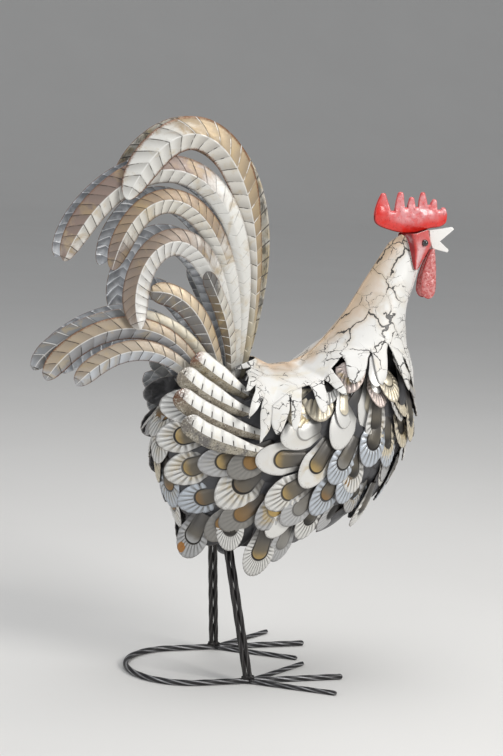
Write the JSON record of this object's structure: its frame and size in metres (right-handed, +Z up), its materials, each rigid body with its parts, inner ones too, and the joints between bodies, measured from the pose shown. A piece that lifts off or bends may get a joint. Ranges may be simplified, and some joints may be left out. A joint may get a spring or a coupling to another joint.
{
  "type": "scrap metal rooster sculpture",
  "caption": "Standing rooster cut, folded and stamped from painted sheet steel, with arching tail plumes, red comb and a bent-rod base.",
  "frame": {"origin": "middle of the whole figure's footprint box, on the floor it stands on", "axes": "+X the way the bird faces, +Y to its left, +Z up"},
  "size_m": [0.487, 0.2548, 0.6207],
  "materials": {
    "rod_iron": "dark twisted steel rod, semi-gloss",
    "body_shell": "dark oxidised sheet, matt",
    "cape_paint": "white crackled paint, tan along the back",
    "plume_paint": "distressed white over bare steel and rust",
    "wing_paint": "white upper flange, brown-grey lower flange",
    "feather_paint": "fluted white and steel, gold-brown centres",
    "red_enamel": "red enamel, hammered, glossy",
    "beak_paint": "white paint, satin",
    "eye_black": "black bead, high gloss"
  },
  "bodies": {
    "root": {"base_rod": "rod_iron", "toe_outer_left": "rod_iron", "toe_outer_right": "rod_iron", "toe_inner_left": "rod_iron", "toe_inner_right": "rod_iron", "leg_front_rod_left": "rod_iron", "leg_front_rod_right": "rod_iron", "leg_rear_rod_left": "rod_iron", "leg_rear_rod_right": "rod_iron", "body_shell": "body_shell", "tail_plume_1_left": "plume_paint", "tail_plume_1_right": "plume_paint", "tail_plume_2_left": "plume_paint", "tail_plume_2_right": "plume_paint", "tail_plume_3_left": "plume_paint", "tail_plume_3_right": "plume_paint", "tail_plume_4_left": "plume_paint", "tail_plume_4_right": "plume_paint", "tail_plume_5_left": "plume_paint", "tail_plume_5_right": "plume_paint", "tail_plume_6_left": "plume_paint", "tail_plume_6_right": "plume_paint", "tail_plume_7_left": "plume_paint", "tail_plume_7_right": "plume_paint", "tail_plume_8_left": "plume_paint", "tail_plume_8_right": "plume_paint", "tail_plume_9_left": "plume_paint", "tail_plume_9_right": "plume_paint", "wing_feather_1_left": "wing_paint", "wing_feather_1_right": "wing_paint", "wing_feather_2_left": "wing_paint", "wing_feather_2_right": "wing_paint", "wing_feather_3_left": "wing_paint", "wing_feather_3_right": "wing_paint", "wing_feather_4_left": "wing_paint", "wing_feather_4_right": "wing_paint", "breast_feathers_left": "feather_paint", "breast_feathers_right": "feather_paint", "body_feathers_row_1_left": "feather_paint", "body_feathers_row_1_right": "feather_paint", "body_feathers_row_2_left": "feather_paint", "body_feathers_row_2_right": "feather_paint", "body_feathers_row_3_left": "feather_paint", "body_feathers_row_3_right": "feather_paint", "body_feathers_row_4_left": "feather_paint", "body_feathers_row_4_right": "feather_paint", "body_feathers_row_5_left": "feather_paint", "body_feathers_row_5_right": "feather_paint", "cape_left": "cape_paint", "cape_right": "cape_paint", "face": "red_enamel", "comb_left": "red_enamel", "comb_right": "red_enamel", "beak_left": "beak_paint", "beak_right": "beak_paint", "wattle_left": "red_enamel", "wattle_right": "red_enamel", "eye_left": "eye_black", "eye_right": "eye_black"}
  },
  "joints": []
}
